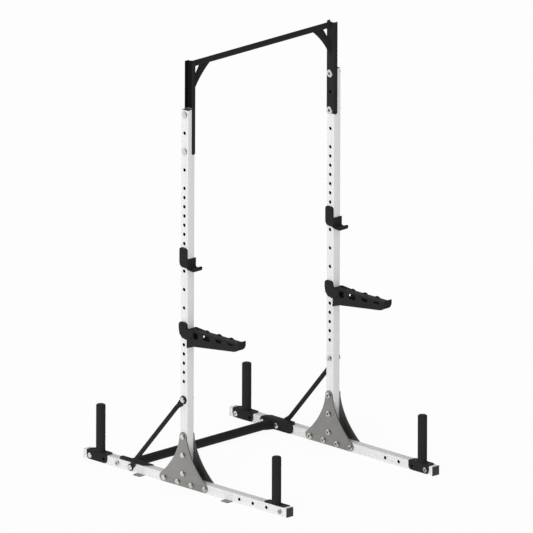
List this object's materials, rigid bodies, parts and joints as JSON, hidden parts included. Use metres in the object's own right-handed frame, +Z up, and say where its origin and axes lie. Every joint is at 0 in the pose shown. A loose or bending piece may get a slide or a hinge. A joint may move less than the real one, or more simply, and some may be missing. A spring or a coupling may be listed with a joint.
{
  "type": "squat rack",
  "caption": "Free-standing squat rack with drilled uprights on floor runners, rear crossmember, pull-up bar, adjustable bar hooks, spotter arms and upright plate storage pegs.",
  "frame": {"origin": "on the floor, midway between the two runners and midway along them", "axes": "+X to the right of a lifter who faces the rack, +Y to the rear, towards the crossmember, +Z up"},
  "size_m": [1.2104, 1.524, 2.343],
  "materials": {
    "white_paint": "satin powder coat",
    "black_paint": "satin powder coat",
    "bare_steel": "satin",
    "zinc_plate": "zinc plated",
    "black_plastic": "matte"
  },
  "bodies": {
    "frame": {"left_runner": "white_paint", "left_upright": "white_paint", "left_front_cap": "black_plastic", "left_rear_cap": "black_plastic", "left_outer_gusset": "bare_steel", "left_inner_gusset": "bare_steel", "left_gusset_bolt_1": "zinc_plate", "left_gusset_bolt_2": "zinc_plate", "left_gusset_bolt_3": "zinc_plate", "left_gusset_bolt_4": "zinc_plate", "left_gusset_bolt_5": "zinc_plate", "left_gusset_bolt_6": "zinc_plate", "left_gusset_bolt_7": "zinc_plate", "left_cross_bracket": "black_paint", "left_brace": "black_paint", "left_brace_bolt_low": "zinc_plate", "left_brace_bolt_high": "zinc_plate", "left_cross_bolt": "zinc_plate", "left_mast": "black_paint", "left_mast_bolt_1": "zinc_plate", "left_mast_bolt_2": "zinc_plate", "right_runner": "white_paint", "right_upright": "white_paint", "right_front_cap": "black_plastic", "right_rear_cap": "black_plastic", "right_outer_gusset": "bare_steel", "right_inner_gusset": "bare_steel", "right_gusset_bolt_1": "zinc_plate", "right_gusset_bolt_2": "zinc_plate", "right_gusset_bolt_3": "zinc_plate", "right_gusset_bolt_4": "zinc_plate", "right_gusset_bolt_5": "zinc_plate", "right_gusset_bolt_6": "zinc_plate", "right_gusset_bolt_7": "zinc_plate", "right_cross_bracket": "black_paint", "right_brace": "black_paint", "right_brace_bolt_low": "zinc_plate", "right_brace_bolt_high": "zinc_plate", "right_cross_bolt": "zinc_plate", "right_mast": "black_paint", "right_mast_bolt_1": "zinc_plate", "right_mast_bolt_2": "zinc_plate", "left_front_peg": "black_paint", "left_front_peg_bolt": "zinc_plate", "left_rear_peg": "black_paint", "left_rear_peg_bolt": "zinc_plate", "right_front_peg": "black_paint", "right_front_peg_bolt": "zinc_plate", "right_rear_peg": "black_paint", "right_rear_peg_bolt": "zinc_plate", "crossmember_tube": "black_paint", "pull_up_bar": "black_paint"},
    "left_hook_pin": {"left_j_hook_pin": "black_paint"},
    "left_hook": {"left_j_hook": "black_paint"},
    "left_arm_pin": {"left_spotter_pin": "black_paint"},
    "left_arm": {"left_spotter_arm": "black_paint"},
    "right_hook_pin": {"right_j_hook_pin": "black_paint"},
    "right_hook": {"right_j_hook": "black_paint"},
    "right_arm_pin": {"right_spotter_pin": "black_paint"},
    "right_arm": {"right_spotter_arm": "black_paint"}
  },
  "joints": [
    {"name": "left_hook_pin_pull", "type": "slide", "parent": "frame", "child": "left_hook_pin", "axis": [-1, 0, 0], "range_m": [0, 0.09]},
    {"name": "left_hook_swing", "type": "hinge", "parent": "left_hook_pin", "child": "left_hook", "pos_m": [-0.5418, 0.0127, 1.2954], "axis": [-1, 0, 0], "range_deg": [0, 95]},
    {"name": "left_arm_pin_pull", "type": "slide", "parent": "frame", "child": "left_arm_pin", "axis": [-1, 0, 0], "range_m": [0, 0.09]},
    {"name": "left_arm_swing", "type": "hinge", "parent": "left_arm_pin", "child": "left_arm", "pos_m": [-0.5418, 0.0127, 0.889], "axis": [-1, 0, 0], "range_deg": [0, 40]},
    {"name": "right_hook_pin_pull", "type": "slide", "parent": "frame", "child": "right_hook_pin", "axis": [-1, 0, 0], "range_m": [0, 0.09]},
    {"name": "right_hook_swing", "type": "hinge", "parent": "right_hook_pin", "child": "right_hook", "pos_m": [0.5418, 0.0127, 1.2954], "axis": [-1, 0, 0], "range_deg": [0, 95]},
    {"name": "right_arm_pin_pull", "type": "slide", "parent": "frame", "child": "right_arm_pin", "axis": [-1, 0, 0], "range_m": [0, 0.09]},
    {"name": "right_arm_swing", "type": "hinge", "parent": "right_arm_pin", "child": "right_arm", "pos_m": [0.5418, 0.0127, 0.889], "axis": [-1, 0, 0], "range_deg": [0, 40]}
  ]
}
